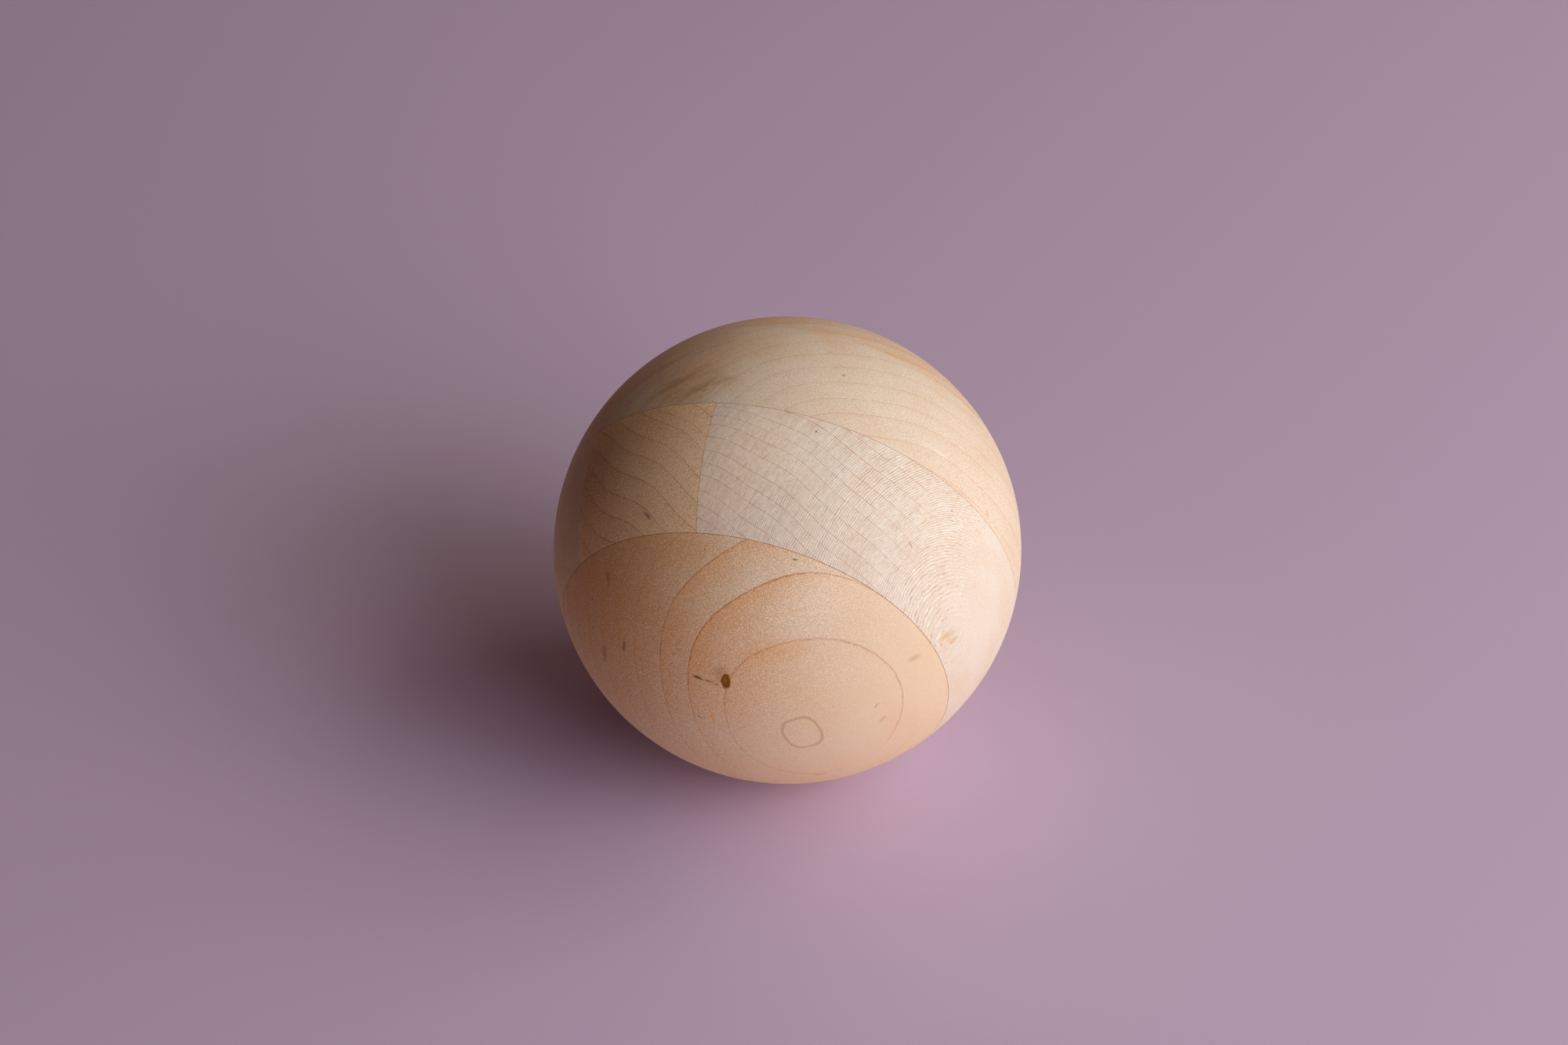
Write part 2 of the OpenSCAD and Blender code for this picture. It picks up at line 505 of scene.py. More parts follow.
def corners(mesh):
    """The place of every corner of every face, its face's normal, and which face it belongs to."""
    places = np.zeros((len(mesh.vertices), 3))
    mesh.vertices.foreach_get("co", places.ravel())
    vertex = np.zeros(len(mesh.loops), dtype=int)
    mesh.loops.foreach_get("vertex_index", vertex)
    normals = np.zeros((len(mesh.polygons), 3))
    mesh.polygons.foreach_get("normal", normals.ravel())
    sides = np.zeros(len(mesh.polygons), dtype=int)
    mesh.polygons.foreach_get("loop_total", sides)
    face_of = np.repeat(np.arange(len(sides)), sides)
    return places[vertex], normals[face_of], face_of


# --- the wood

# Unevenness of the wood, in waves for each mm, and up the trunk as a share of that
CLOUD_WAVES, CLOUD_UP = 0.2, 0.45  # slow drift of tone
FRAY_WAVES, JITTER_WAVES = 1.1, 3.2  # what makes edges ragged, and a finer unevenness of ring lines
PORE_WAVES, PORE_UP = 6.0, 0.7
FIBRE_WAVES = 9.0
EVEN = 0.5  # what each of them comes to on average

# How far it shifts an edge: in mm, and for a mark as a share of the mark
RING_FRAY, RING_JITTER, BULLSEYE_FRAY, MARK_FRAY = 0.14, 0.08, 0.4, 0.5

# How unevenness, or a distance in widths of a line, turns into strength
RINGS_COME_AND_GO = Ramp(0.3, 0.6, 0.6, 1.0)
LINES_COME_AND_GO = Ramp(0.3, 0.6, 0.5, 1.0)
GLUE_COMES_AND_GOES = Ramp(0.3, 0.6, 0.65, 1.0)
CLOUDED = Ramp(0.4, 0.72)
DARK_PORES = Ramp(0.5, 0.7, 0.0, 0.33)
PALE_PORES = Ramp(0.48, 0.3, 0.0, 0.35)
STREAKED = Ramp(0.42, 0.62)
FIBRES = Ramp(0.2, 0.8, -1.0, 1.0)
OUTER_EDGE = Ramp(1.7, 0.2)
INNER_EDGE = Ramp(0.7, 0.0)
BULLSEYE_EDGE = Ramp(1.3, 0.3)
GLUE_EDGE = Ramp(1.0, 0.3)

EXTRA_RINGS = 6  # rings added inside and outside the listed ones
LATE_CURVE = 1.2  # how late wood darkens towards the edge of its ring
OWN_TONE = 0.3  # how much one ring's line may differ from the next one's
COOL_LATE_WOOD, COOL_LINES = 0.06, 0.5  # what is left of late wood and of ring lines on the cool side
RAYS_LEFT = 0.12  # what is left of the rays on the calm side
FIBRE_TINT = (1.0, 1.2, 1.45)  # fibres change blue more than red
PORE_MIDDLE = 0.49  # what lively pores spread out from
BULLSEYE_SQUARE = 2.7  # 2 is an ellipse, and more is squarer
MARK_DEPTH = 2.0  # mm, more than its own half width
STREAK_WAVES = (1.2, 0.3)  # waves along a mark's streaks, and into the wood

# The sanded surface
REFRACTION, SHINE = 1.45, 0.04
PORE_ROUGHNESS = 0.1
RAY_RELIEF, PORE_RELIEF = -0.3, 0.5
RELIEF_STRENGTH, RELIEF_DEPTH = 0.35, 0.03 * MM


class Tree:
    """Short words for the nodes of a material or of the world."""

    def __init__(self, owner):
        owner.use_nodes = True
        self.nodes, self.links = owner.node_tree.nodes, owner.node_tree.links

    def node(self, kind, inputs=(), **values):
        node = self.nodes.new("ShaderNode" + kind)
        for name, value in values.items():
            setattr(node, name, value)
        for name, value in dict(inputs).items():
            self.plug(node.inputs[name], value)
        return node

    def plug(self, socket, value):
        if isinstance(value, bpy.types.NodeSocket):
            self.links.new(value, socket)
        else:
            socket.default_value = (*value, 1.0) if socket.type == "RGBA" else value

    def maths(self, operation, *values):
        return self.node("Math", enumerate(values), operation=operation).outputs[0]

    def add(self, *values):
        total = values[0]
        for value in values[1:]:
            total = self.maths("ADD", total, value)
        return total

    def times(self, *values):
        total = values[0]
        for value in values[1:]:
            total = self.maths("MULTIPLY", total, value)
        return total

    def minus(self, value, by):
        return self.maths("SUBTRACT", value, by)

    def past(self, value, start):
        """How far a value has gone past a start, and 0 before it."""
        return self.maths("MAXIMUM", self.minus(value, start), 0.0)

    def gap(self, one, other):
        """How far apart two values are."""
        return self.maths("ABSOLUTE", self.minus(one, other))

    def vector(self, x, y, z):
        return self.node("CombineXYZ", {"X": x, "Y": y, "Z": z}).outputs[0]

    def scaled(self, vector, by):
        return self.node("VectorMath", {0: vector, 1: by}, operation="MULTIPLY").outputs["Vector"]

    def length(self, vector):
        return self.node("VectorMath", {0: vector}, operation="LENGTH").outputs["Value"]

    def toward(self, place, direction):
        """How far a place lies in a direction."""
        return self.node("VectorMath", {0: place, 1: direction}, operation="DOT_PRODUCT").outputs["Value"]

    def ramp(self, value, ramp, smooth=True):
        """What a ramp gives for a value."""
        return self.node(
            "MapRange",
            {"Value": value, "From Min": ramp.start, "From Max": ramp.end, "To Min": ramp.first,
             "To Max": ramp.last},
            interpolation_type="SMOOTHSTEP" if smooth else "LINEAR").outputs["Result"]

    def side(self, place, side, first=0.0, last=1.0):
        """What one side of the ball gets, and the other."""
        return self.ramp(self.toward(place, side.toward), Ramp(side.start, side.end, first, last))

    def in_step(self, value, at, ramp):
        """What a ramp gives for how far a value lies from a place in each of its whole steps."""
        return self.ramp(self.gap(self.maths("FRACT", value), at), ramp)

    def noise(self, at, scale, detail=2.0, roughness=0.5):
        return self.node(
            "TexNoise", {"Vector": at, "Scale": scale, "Detail": detail, "Roughness": roughness}
        ).outputs["Fac"]

    def shift(self, noise, by):
        """A noise as a shift to either side."""
        return self.times(self.minus(noise, EVEN), by)

    def chances(self, **at):
        """Random numbers from 0 to 1 that are the same at the same W or Vector."""
        chance = self.node("TexWhiteNoise", at, noise_dimensions="1D" if "W" in at else "3D").outputs
        return self.node("SeparateColor", {"Color": chance["Color"]}).outputs

    def blend(self, share, under, over):
        return self.node("Mix", {0: share, 6: under, 7: over}, data_type="RGBA").outputs[2]


class Grain(NamedTuple):
    """Where a point lies in the tree, in mm, as sockets."""
    place: object  # in the blank
    out: object  # away from the heart
    round: object  # round the trunk, across the rays
    up: object  # up the trunk
    growth: object  # out from the datum, following the rings


def grain_of(tree, growth):
    """Follows the board's growth from the place of a point."""
    coordinates = tree.nodes.new("ShaderNodeTexCoord").outputs["Object"]
    place = tree.node(
        "Mapping", {"Vector": coordinates, "Rotation": settings().ball.blank_turn, "Scale": (MM, MM, MM)},
        vector_type="TEXTURE").outputs[0]
    split = tree.node("SeparateXYZ", {"Vector": place}).outputs
    x, y, up = split["X"], split["Y"], split["Z"]
    dx, dy = tree.minus(x, growth.pith[0]), tree.minus(y, growth.pith[1])
    to_datum = Vector(growth.datum) - Vector(growth.pith)
    out = tree.minus(tree.length(tree.vector(dx, dy, 0.0)), to_datum.length)
    angle = tree.minus(math.atan2(to_datum.y, to_datum.x), tree.maths("ARCTAN2", dy, dx))
    round_ = tree.times(angle, to_datum.length)
    rings = waved_rings(tree, growth, out, round_, up)
    if growth.bend:
        start, outwards = growth.bend
        left = tree.past(start, x)
        rings = tree.minus(rings, tree.times(left, left, outwards))
    if growth.rays:
        round_ = bent_rays(tree, growth, x, y, up)
    return Grain(place, out, round_, up, rings)


def waved_rings(tree, growth, out, round_, up):
    """How far out a point lies, counted along rings that lean, twist and wave."""
    rings = tree.add(out, tree.times(up, growth.lean))
    if growth.twist:
        rings = tree.add(rings, tree.times(round_, up, growth.twist))
    for wave in growth.waves:
        phase = tree.add(tree.times(round_ if wave.along == "round" else up, 1 / wave.length), wave.start)
        if wave.slant:
            phase = tree.add(phase, tree.times(out, wave.slant))
        if wave.climb:
            phase = tree.add(phase, tree.times(up, wave.climb))
        rings = tree.add(rings, tree.times(tree.maths("SINE", tree.times(phase, math.tau)), wave.height))
    return rings


def bent_rays(tree, growth, x, y, up):
    """How far across its rays a point lies, where the rays bend, lean over and draw together."""
    level, curve = growth.rays
    start, taken, over = growth.rays_up
    above = tree.past(up, start)
    bent = tree.maths("MINIMUM", above, taken)
    leaning = tree.add(tree.times(bent, bent, over / taken / 2), tree.times(tree.minus(above, bent), over))
    across = tree.add(x, tree.times(y, level), tree.times(y, y, curve), leaning)
    start, closer = growth.rays_near
    near = tree.past(across, start)
    return tree.add(across, tree.times(near, near, closer / 2))


def ring_count(tree, growth, at):
    """How many rings lie inside a place, with the part of a ring that it has reached. Past the listed
    rings the rest go on at the board's usual width."""
    rings = list(growth.rings)
    width = (rings[-1] - rings[0]) / (len(rings) - 1)
    inner, outer = rings[0], rings[-1]
    rings = [inner - width * n for n in range(EXTRA_RINGS, 0, -1)] + rings
    rings += [outer + width * n for n in range(1, EXTRA_RINGS + 1)]
    low, high = rings[0], rings[-1]
    curve = tree.node("FloatCurve", {"Value": tree.ramp(at, Ramp(low, high), smooth=False)})
    points = curve.mapping.curves[0].points
    last = len(rings) - 1
    for n, ring in enumerate(rings[1:-1], 1):
        points.new((ring - low) / (high - low), n / last)
    for point in points:
        point.handle_type = "VECTOR"
    curve.mapping.update()
    return tree.times(curve.outputs[0], float(last)), width


# What the rays look like, in parts of their pitch unless a line says otherwise
BROWN_RAY, PALE_RAY = 0.27, 0.77  # where the brown ray and the pale one beside it lie
RAY_EDGE = Ramp(0.26, 0.04)  # from a ray's edge to its middle
SWAYS = ((0.15, 1.2), (1.0, 0.8))  # waves for each mm, and how far they shift the rays
STAGGER = (17.0, 9.0)  # the most that rays are shifted, in ray heights and in reaches
RAY_TIPS = Ramp(0.49, 0.25)  # from a ray's tips to its middle, in ray heights
RAY_ENDS = Ramp(0.5, 0.45)  # the same, in reaches
END_GRAIN = Ramp(4.0, 20.0)  # mm up or down the trunk over which flat grain turns to end grain
DASHES = Ramp(0.0, 0.9)  # how strong a dash is by its own chance
DASHES_LEFT = 0.5  # what is left of the dashes on end grain
LINES = Ramp(0.1, 0.9, 0.35, 0.85)  # how strong a line on end grain is by its own chance
BUNDLES = (0.5, 0.16, 0.3)  # waves for each mm across the rays, outwards and up
BROWN_BUNDLES = Ramp(0.25, 0.6, 0.4, 1.0)
PALE_BUNDLES = Ramp(0.7, 0.4, 0.5, 1.0)
BREAKS = (2.2, 1.0, 1.0)  # waves for each mm, the same way
BROWN_BREAKS = Ramp(0.36, 0.62, 0.35, 1.3)
PALE_BREAKS = Ramp(0.64, 0.38, 0.35, 1.3)


def rays_of(tree, grain):
    """The brown and the pale rays, thin upright plates that run out across the rings. On end grain they
    are fine lines, on flat-sawn faces short upright dashes, and open flakes where the surface runs along
    them."""
    wood = settings().wood
    sway = tree.add(*(tree.times(tree.noise(grain.place, waves, detail=0.0), by) for waves, by in SWAYS))
    across = tree.add(tree.times(grain.round, MM / wood.ray_pitch), sway)
    plate = tree.maths("FLOOR", across)
    own = tree.chances(W=plate)
    height = tree.add(tree.times(grain.up, MM / wood.ray_height), tree.times(own["Red"], STAGGER[0]))
    length = tree.add(tree.times(grain.out, MM / wood.ray_reach), tree.times(own["Green"], STAGGER[1]))
    dash = tree.chances(Vector=tree.vector(plate, tree.maths("FLOOR", height), tree.maths("FLOOR", length)))
    ends = tree.times(tree.in_step(height, 0.5, RAY_TIPS), tree.in_step(length, 0.5, RAY_ENDS))
    end_grain = tree.ramp(tree.maths("ABSOLUTE", grain.up), END_GRAIN)
    along = tree.vector(grain.round, grain.out, grain.up)
    bundle, broken = (tree.noise(tree.scaled(along, waves), 1.0) for waves in (BUNDLES, BREAKS))

    def shown(channel, at, bundles, breaks):
        """Rays run together into long lines towards the end grain, and stand apart elsewhere."""
        left = tree.ramp(end_grain, Ramp(0.0, 1.0, 1.0, DASHES_LEFT))
        apart = tree.times(ends, tree.ramp(dash[channel], DASHES), left)
        joined = tree.times(end_grain, tree.ramp(own[channel], LINES))
        return tree.times(tree.in_step(across, at, RAY_EDGE), tree.add(apart, joined),
                          tree.ramp(bundle, bundles), tree.ramp(broken, breaks))

    return (shown("Red", BROWN_RAY, BROWN_BUNDLES, BROWN_BREAKS),
            shown("Green", PALE_RAY, PALE_BUNDLES, PALE_BREAKS))


class Mottle(NamedTuple):
    """The wood's unevenness, as sockets."""
    cloud: object
    fray: object
    jitter: object
    pores: object


def mottle_of(tree, place):
    return Mottle(
        tree.noise(tree.scaled(place, (1.0, 1.0, CLOUD_UP)), CLOUD_WAVES, detail=3.0),
        tree.noise(place, FRAY_WAVES),
        tree.noise(place, JITTER_WAVES, detail=1.0),
        tree.noise(tree.scaled(place, (1.0, 1.0, PORE_UP)), PORE_WAVES, roughness=0.6))


def maple(board):
    """Sanded maple. The rings, rays and pores lie in the solid wood, so the ball's surface cuts them as
    the lathe does: courses of rings and fine ray lines on end grain, wide arcs and specks on flat faces."""
    wood, colours = settings().wood, settings().colours
    material = bpy.data.materials.new(board.slot)
    tree = Tree(material)
    look = board.look
    grain = grain_of(tree, board.growth)
    mottle = mottle_of(tree, grain.place)
    brown_rays, pale_rays = rays_of(tree, grain)
    pores, lively = mottle.pores, 1.0
    if look.lively:
        lively = tree.side(grain.place, look.lively, look.least_lively)
        pores = tree.add(PORE_MIDDLE, tree.times(tree.minus(pores, PORE_MIDDLE), lively))
    late_tone = getattr(colours, look.late_tone)
    late, line = rings_of(tree, board, grain, mottle)

    shade = tree.blend(late, getattr(colours, board.slot), late_tone)
    shade = tree.blend(tree.ramp(mottle.cloud, CLOUDED.scaled(look.cloud)), shade, late_tone)
    shade = marked(tree, shade, grain, mottle, [mark for mark in board.marks if mark.soft == 1.0])
    calm = tree.side(grain.place, look.calm, 1.0, RAYS_LEFT) if look.calm else 1.0
    shade = tree.blend(tree.times(brown_rays, look.rays, calm), shade, colours.ray)
    shade = tree.blend(tree.times(pale_rays, look.pale_rays, calm), shade, colours.pale_grain)
    shade = tree.blend(tree.ramp(pores, DARK_PORES.scaled(look.sparkle)), shade, colours.ring_line)
    shade = tree.blend(tree.ramp(pores, PALE_PORES.scaled(look.sparkle)), shade, colours.pale_grain)
    shade = tree.blend(line, shade, colours.ring_line)
    if board.bullseye:
        shade = tree.blend(bullseye_mask(tree, grain, mottle, board.bullseye), shade, colours.ring_line)
    shade = marked(tree, shade, grain, mottle, [mark for mark in board.marks if mark.soft < 1.0])
    shade = glued(tree, shade, board, grain, mottle)
    shade = fibred(tree, shade, grain, look.fibres, lively)

    shader = tree.nodes["Principled BSDF"].inputs
    tree.plug(shader["Base Color"], shade)
    roughness = tree.add(wood.roughness - PORE_ROUGHNESS / 2, tree.times(pores, PORE_ROUGHNESS))
    tree.plug(shader["Roughness"], roughness)
    shader["IOR"].default_value = REFRACTION
    shader["Specular IOR Level"].default_value = SHINE
    relief = tree.add(tree.times(brown_rays, RAY_RELIEF), tree.times(pores, PORE_RELIEF))
    bump = tree.node("Bump", {"Strength": RELIEF_STRENGTH, "Distance": RELIEF_DEPTH, "Height": relief})
    tree.plug(shader["Normal"], bump.outputs[0])
    return material


def rings_of(tree, board, grain, mottle):
    """The shares of darker late wood just inside each ring's outer edge, and of the dark hairline at the
    edge itself."""
    look = board.look
    at = tree.add(grain.growth, tree.shift(mottle.fray, RING_FRAY), tree.shift(mottle.jitter, RING_JITTER))
    count, width = ring_count(tree, board.growth, at)
    reached = tree.maths("FRACT", count)
    to_edge = tree.times(tree.minus(1.0, reached), width)
    from_edge = tree.times(reached, width)
    own = tree.node(
        "TexWhiteNoise", {"W": tree.maths("FLOOR", count)}, noise_dimensions="1D").outputs["Value"]
    late = tree.maths("POWER", tree.ramp(to_edge, Ramp(look.late_width, 0.0), smooth=False), LATE_CURVE)
    fine = settings().wood.ring_line / MM
    line = tree.maths("MAXIMUM", tree.ramp(to_edge, OUTER_EDGE.wide(fine)),
                      tree.ramp(from_edge, INNER_EDGE.wide(fine)))

    show = tree.ramp(mottle.cloud, RINGS_COME_AND_GO)
    for over in look.fades:
        show = tree.times(show, tree.ramp(grain.growth, over))
    if look.bare:
        gone = tree.times(tree.side(grain.place, look.bare),
                          tree.ramp(grain.growth, Ramp(look.bare_past - 1.0, look.bare_past)))
        show = tree.times(show, tree.minus(1.0, gone))
    warmth = show
    if look.warm:
        warmth = tree.times(warmth, tree.side(grain.place, look.warm, COOL_LATE_WOOD))
        show = tree.times(show, tree.side(grain.place, look.warm, COOL_LINES))
    line = tree.times(line, show, tree.add(1.0 - OWN_TONE, tree.times(own, OWN_TONE)),
                      tree.ramp(mottle.fray, LINES_COME_AND_GO), look.line)
    return tree.times(late, warmth, look.late), line


def glued(tree, shade, board, grain, mottle):
    """Adds the dark hairline at each glued joint."""
    split = tree.node("SeparateXYZ", {"Vector": grain.place}).outputs
    half = settings().ball.glue_line / MM
    for axis, joints in (("X", board.x), ("Y", board.y)):
        for joint in joints:
            if joint is not None and joint.dark:
                line = tree.ramp(tree.gap(split[axis], joint.at / MM), GLUE_EDGE.wide(half))
                seen = tree.ramp(mottle.fray, GLUE_COMES_AND_GOES.scaled(joint.dark))
                shade = tree.blend(tree.times(line, seen), shade, settings().colours.glue)
    return shade


def fibred(tree, shade, grain, strength, lively):
    """Lightens and darkens the wood by fibres too fine to tell apart."""
    fibres = tree.noise(grain.place, FIBRE_WAVES, detail=1.0)
    light = tree.times(tree.ramp(fibres, FIBRES.scaled(strength), smooth=False), lively)
    light = tree.node("VectorMath", {0: tree.vector(light, light, light), 1: FIBRE_TINT, 2: (1.0, 1.0, 1.0)},
                      operation="MULTIPLY_ADD").outputs["Vector"]
    return tree.scaled(shade, light)


def marked(tree, shade, grain, mottle, marks):
    """Adds marks, in their order."""
    for mark in marks:
        tone = getattr(settings().colours, mark.tone)
        shade = tree.blend(mark_mask(tree, grain, mottle, mark), shade, tone)
    return shade


def bullseye_mask(tree, grain, mottle, eye):
    """The line of a closed ring, a rounded oblong seen along the blank's Y axis."""
    split = tree.node("SeparateXYZ", {"Vector": grain.place}).outputs
    sides = [tree.maths("POWER", tree.times(tree.gap(split[axis], middle), 1 / half), BULLSEYE_SQUARE)
             for axis, middle, half in zip("XZ", eye.place, eye.size)]
    far = tree.maths("POWER", tree.add(*sides), 1 / BULLSEYE_SQUARE)
    off = tree.times(tree.minus(far, 1.0), sum(eye.size) / 2)
    off = tree.maths("ABSOLUTE", tree.add(off, tree.shift(mottle.fray, BULLSEYE_FRAY)))
    return tree.ramp(off, BULLSEYE_EDGE.wide(eye.line).scaled(eye.strength))


def mark_mask(tree, grain, mottle, mark):
    """Where a mark lies, with a slightly ragged edge."""
    radius = settings().ball.diameter / 2 / MM
    facing = Vector(mark.place).normalized()
    level = Vector((0, 0, 1)).cross(facing).normalized()
    rise = facing.cross(level)
    turn = math.radians(mark.turn)
    along = level * math.cos(turn) + rise * math.sin(turn)
    own = Matrix((along, facing.cross(along), facing)).transposed()
    length, width = mark.size
    at = tree.node(
        "Mapping", {"Vector": grain.place, "Location": facing * radius, "Rotation": own.to_euler(),
                    "Scale": (length, width, MARK_DEPTH + width)},
        vector_type="TEXTURE").outputs[0]
    far = tree.add(tree.length(at), tree.shift(mottle.fray, MARK_FRAY))
    seen = tree.ramp(far, Ramp(1.0, 1.0 - mark.soft, 0.0, mark.strength))
    if mark.streaks:
        streak = tree.noise(tree.scaled(at, (STREAK_WAVES[0], mark.streaks, STREAK_WAVES[1])), 1.0)
        seen = tree.times(seen, tree.ramp(streak, STREAKED))
    return seen


def finish_block(board):
    piece = turned_block(board)
    piece.data.materials.clear()
    piece.data.materials.append(maple(board))
    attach(piece, "root")
    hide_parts(board.node)
    return {"FINISHED"}


def joints():
    """The joints of the blank: three across it in Y, from the front, and two in X, from the left."""
    ball = settings().ball
    middle, right = ball.layer_shift, ball.stave_joint
    return ((Joint(middle - ball.layer, 0.85), Joint(middle, 0.7), Joint(middle + ball.layer, 0.12)),
            (Joint(right - ball.centre_stave, 0.0), Joint(right, 0.6)))


# --- the operators

class BALL_OT_front_board(bpy.types.Operator):
    """Build the front board, flat sawn, with the bullseye, the pin knot and wide ring arcs"""
    bl_idname = "wooden_ball.front_board"
    bl_label = "Front Board"

    def execute(self, context):
        (front, _, _), _ = joints()
        return finish_block(Board(
            "front_board", "front_maple", FRONT_GROWTH, FRONT_LOOK,
            y=(None, front), marks=FRONT_MARKS, bullseye=FRONT_BULLSEYE))


class BALL_OT_right_stave(bpy.types.Operator):
    """Build the right stave, with fine ring courses and rays on its end grain"""
    bl_idname = "wooden_ball.right_stave"
    bl_label = "Right Stave"

    def execute(self, context):
        (front, middle, _), (_, right) = joints()
        return finish_block(Board(
            "right_stave", "pale_maple", RIGHT_GROWTH, RIGHT_LOOK,
            (right, None), (front, middle), RIGHT_MARKS))


class BALL_OT_centre_stave(bpy.types.Operator):
    """Build the centre stave, darker, with wide wavy rings"""
    bl_idname = "wooden_ball.centre_stave"
    bl_label = "Centre Stave"

    def execute(self, context):
        (front, middle, _), (left, right) = joints()
        return finish_block(Board(
            "centre_stave", "tan_maple", CENTRE_GROWTH, CENTRE_LOOK,
            (left, right), (front, middle), CENTRE_MARKS))


class BALL_OT_left_stave(bpy.types.Operator):
    """Build the left stave, plain and slightly pink"""
    bl_idname = "wooden_ball.left_stave"
    bl_label = "Left Stave"

    def execute(self, context):
        (front, middle, _), (left, _) = joints()
        return finish_block(Board(
            "left_stave", "left_maple", LEFT_GROWTH, LEFT_LOOK, (None, left), (front, middle)))


class BALL_OT_upper_board(bpy.types.Operator):
    """Build the upper board, with faint ring arcs and a mottled figure"""
    bl_idname = "wooden_ball.upper_board"
    bl_label = "Upper Board"

    def execute(self, context):
        (_, middle, rear), _ = joints()
        return finish_block(Board(
            "upper_board", "upper_maple", UPPER_GROWTH, UPPER_LOOK, y=(middle, rear), marks=UPPER_MARKS))


class BALL_OT_rear_board(bpy.types.Operator):
    """Build the rear board, browner than the rest"""
    bl_idname = "wooden_ball.rear_board"
    bl_label = "Rear Board"

    def execute(self, context):
        (_, _, rear), _ = joints()
        return finish_block(Board("rear_board", "rear_maple", REAR_GROWTH, REAR_LOOK, y=(rear, None)))


class Lamp(NamedTuple):
    """Where a soft lamp hangs, and its size."""
    name: str
    turn: float  # degrees round the ball, from the right
    rise: float  # degrees above the floor
    size: tuple  # metres


LOW_WINDOW = Lamp("Low_Window", -40, 23, (0.9, 0.8))
HIGH_WINDOW = Lamp("High_Window", -10, 38, (1.1, 0.8))
BACK_LAMP = Lamp("Back_Lamp", 45, 50, (0.8, 0.8))
LAMP_DISTANCE = 1.0

CAMERA_PLACE = (-0.00052, -0.4606, 0.3651)
CAMERA_TILT = math.radians(52)
CAMERA_WIDTH = 36.0  # mm of its sensor

FLOOR_ROUGHNESS = 0.9
FLOOR_TURNS = Ramp(0.1, 0.3)  # metres from the ball over which the floor turns to its far colour
FLOOR_FADES = Ramp(0.28, 0.75)  # metres from the ball over which the floor, as seen, turns to backdrop


def soft_lamp(lamp, power, colour):
    """Adds a soft lamp that faces the ball."""
    bpy.ops.object.light_add(type="AREA")
    light = bpy.context.active_object
    light.name = lamp.name
    light.data.shape = "RECTANGLE"
    light.data.size, light.data.size_y = lamp.size
    light.data.energy = power
    light.data.color = colour
    turn, rise = math.radians(lamp.turn), math.radians(lamp.rise)
    toward = Vector((math.cos(turn) * math.cos(rise), math.sin(turn) * math.cos(rise), math.sin(rise)))
    light.location = toward * LAMP_DISTANCE
    light.rotation_euler = (-toward).to_track_quat("-Z", "Y").to_euler()


def seen_straight(tree):
    """1 where the camera sees a surface itself, or in a reflection or through glass."""
    path = tree.nodes.new("ShaderNodeLightPath").outputs
    return tree.maths("MAXIMUM", path["Is Camera Ray"],
                      tree.maths("MAXIMUM", path["Is Glossy Ray"], path["Is Transmission Ray"]))


def floor_material(stage):
    """A matt floor that lights the ball with its own colours, and fades to the backdrop as it is seen."""
    material = bpy.data.materials.new("floor")
    tree = Tree(material)
    away = tree.length(tree.nodes.new("ShaderNodeTexCoord").outputs["Object"])
    seen = seen_straight(tree)
    shade = tree.blend(tree.ramp(away, FLOOR_TURNS), stage.floor_colour, stage.far_floor_colour)
    shade = tree.blend(seen, shade, stage.seen_floor_colour)
    matte = tree.nodes["Principled BSDF"]
    tree.plug(matte.inputs["Base Color"], shade)
    matte.inputs["Roughness"].default_value = FLOOR_ROUGHNESS
    haze = tree.node("Emission", {"Color": stage.backdrop_colour})
    fade = tree.times(seen, tree.ramp(away, FLOOR_FADES))
    mix = tree.node("MixShader", {0: fade, 1: matte.outputs[0], 2: haze.outputs[0]})
    tree.plug(tree.nodes["Material Output"].inputs["Surface"], mix.outputs[0])
    return material


def studio(stage):
    """A weak warm fill from all round, behind the backdrop's plain colour."""
    world = bpy.data.worlds.new("Studio")
    tree = Tree(world)
    fill = tree.nodes["Background"]
    fill.inputs["Color"].default_value = (*stage.fill_colour, 1.0)
    fill.inputs["Strength"].default_value = stage.fill_strength
    backdrop = tree.node("Background", {"Color": stage.backdrop_colour})
    mix = tree.node("MixShader", {0: seen_straight(tree), 1: fill.outputs[0], 2: backdrop.outputs[0]})
    tree.plug(tree.nodes["World Output"].inputs[0], mix.outputs[0])
    return world


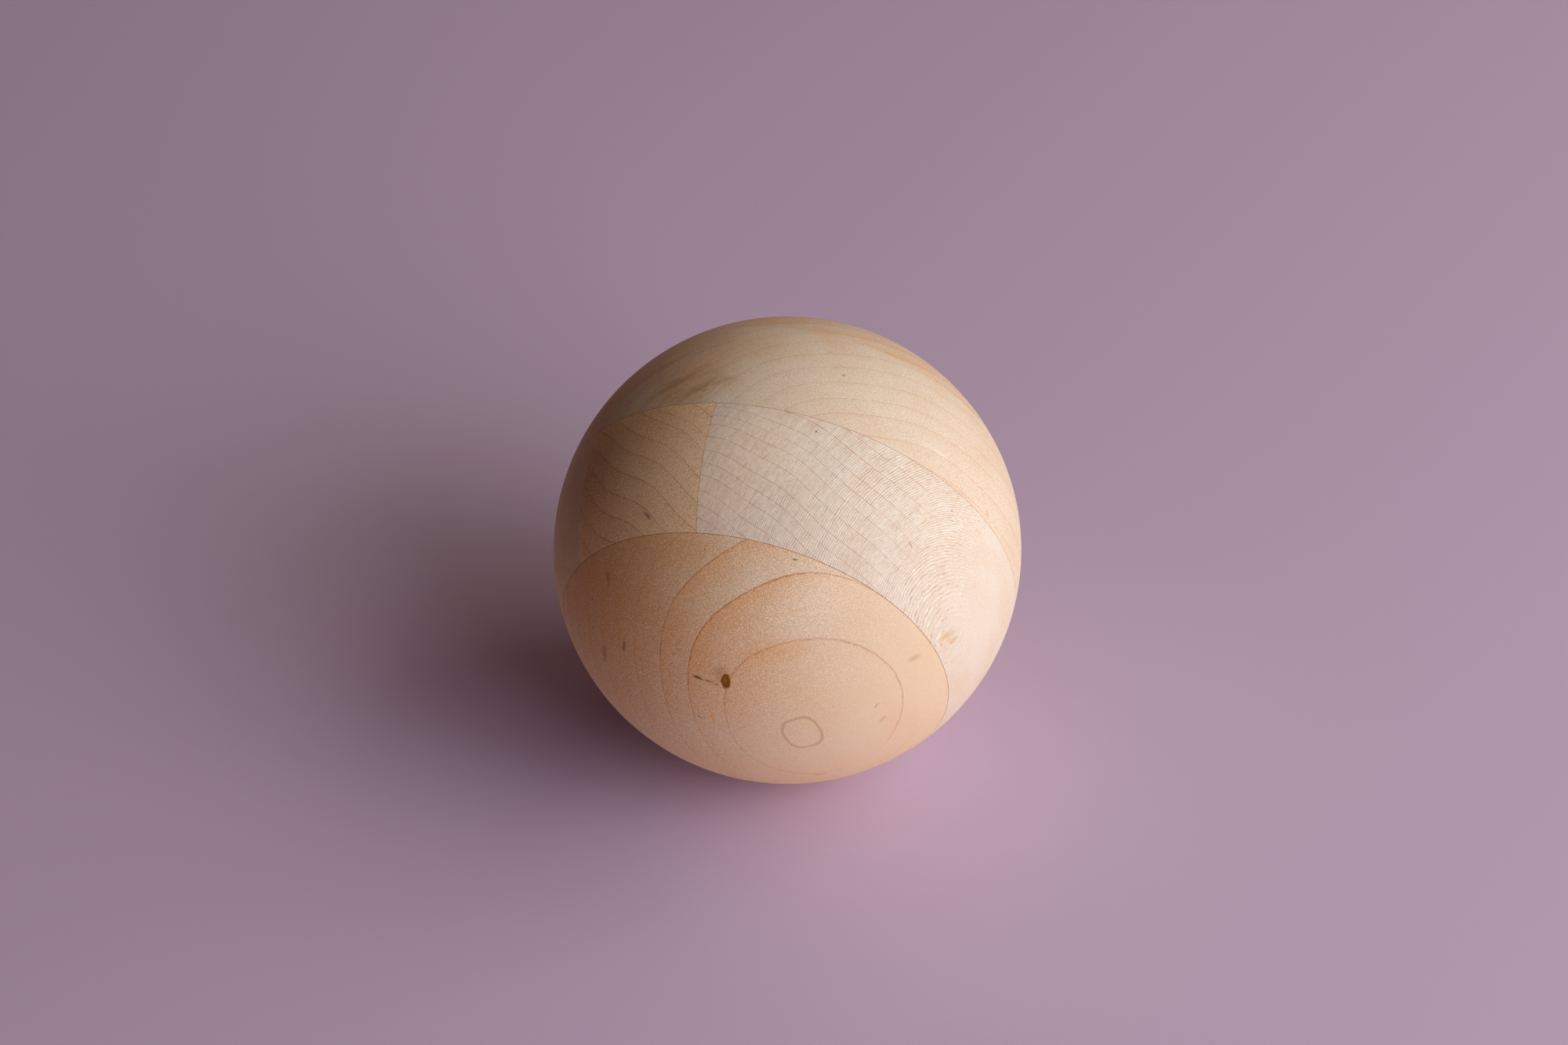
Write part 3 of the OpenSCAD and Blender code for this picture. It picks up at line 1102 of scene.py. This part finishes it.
class BALL_OT_stage(bpy.types.Operator):
    """Set the camera, the soft window light and the plain floor"""
    bl_idname = "wooden_ball.stage"
    bl_label = "Stage"

    def execute(self, context):
        stage = settings().stage
        scene = context.scene
        scene.view_settings.view_transform = "Standard"
        bpy.ops.object.camera_add(location=CAMERA_PLACE, rotation=(CAMERA_TILT, 0, 0))
        scene.camera = context.active_object
        scene.camera.data.lens = stage.camera_lens
        scene.camera.data.sensor_width = CAMERA_WIDTH
        soft_lamp(LOW_WINDOW, stage.low_power, stage.low_colour)
        soft_lamp(HIGH_WINDOW, stage.high_power, stage.high_colour)
        soft_lamp(BACK_LAMP, stage.back_power, stage.back_colour)
        scene.world = studio(stage)

        bpy.ops.mesh.primitive_plane_add(size=stage.floor_size, location=(0, 0, BALL_LOW.z))
        floor = context.active_object
        floor.name = "Floor"
        floor.data.materials.append(floor_material(stage))
        return {"FINISHED"}


class BALL_PT_panel(bpy.types.Panel):
    """Lists what the add-on builds and its settings"""
    bl_idname = "BALL_PT_panel"
    bl_label = "Wooden Ball"
    bl_space_type = "VIEW_3D"
    bl_region_type = "UI"
    bl_category = "Wooden Ball"

    def draw(self, context):
        for operator in OPERATORS:
            self.layout.operator(operator.bl_idname)
        own = settings()
        for group in (own.ball, own.wood, own.colours, own.stage):
            box = self.layout.box()
            for name in group.__annotations__:
                box.prop(group, name)


OPERATORS = (
    BALL_OT_front_board, BALL_OT_right_stave, BALL_OT_centre_stave, BALL_OT_left_stave,
    BALL_OT_upper_board, BALL_OT_rear_board, BALL_OT_stage,
)
CLASSES = (
    BallSizes, WoodSizes, WoodColours, StageSizes, WoodenBallSettings, *OPERATORS, BALL_PT_panel,
)


def register():
    for cls in CLASSES:
        bpy.utils.register_class(cls)
    bpy.types.Scene.wooden_ball = bpy.props.PointerProperty(type=WoodenBallSettings)


def unregister():
    del bpy.types.Scene.wooden_ball
    for cls in reversed(CLASSES):
        bpy.utils.unregister_class(cls)


def main():
    register()
    bpy.ops.wooden_ball.front_board()
    bpy.ops.wooden_ball.right_stave()
    bpy.ops.wooden_ball.centre_stave()
    bpy.ops.wooden_ball.left_stave()
    bpy.ops.wooden_ball.upper_board()
    bpy.ops.wooden_ball.rear_board()
    bpy.data.meshes.remove(turned_ball())
    bpy.ops.wooden_ball.stage()


if __name__ == "__main__":
    main()
